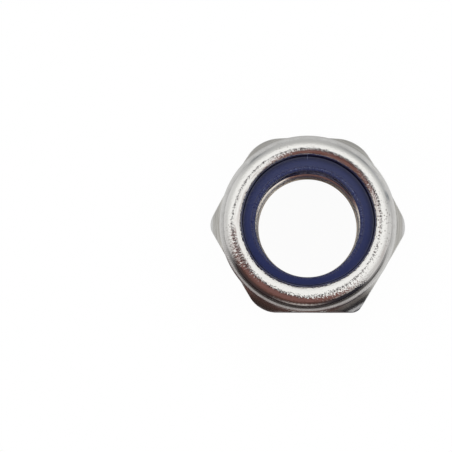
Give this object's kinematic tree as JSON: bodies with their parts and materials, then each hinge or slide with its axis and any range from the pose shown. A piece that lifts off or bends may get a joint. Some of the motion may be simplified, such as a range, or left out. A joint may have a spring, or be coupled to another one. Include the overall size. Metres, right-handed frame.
{
  "type": "nylon insert lock nut",
  "caption": "Hexagonal steel lock nut with a rolled collar that traps a nylon ring, which grips the bolt's thread.",
  "frame": {"origin": "centre of the bearing face, on the thread axis", "axes": "+Z along the thread axis from the bearing face to the nylon end, +X through a corner of the hexagon, +Y through a flat"},
  "size_m": [0.0268, 0.0242, 0.016],
  "materials": {
    "steel": "bright stainless steel, polished on the rolled collar, finely pitted on the facets",
    "nylon": "satin dark blue polyamide"
  },
  "bodies": {
    "root": {"nut_body": "steel", "nylon_insert": "nylon"}
  },
  "joints": []
}
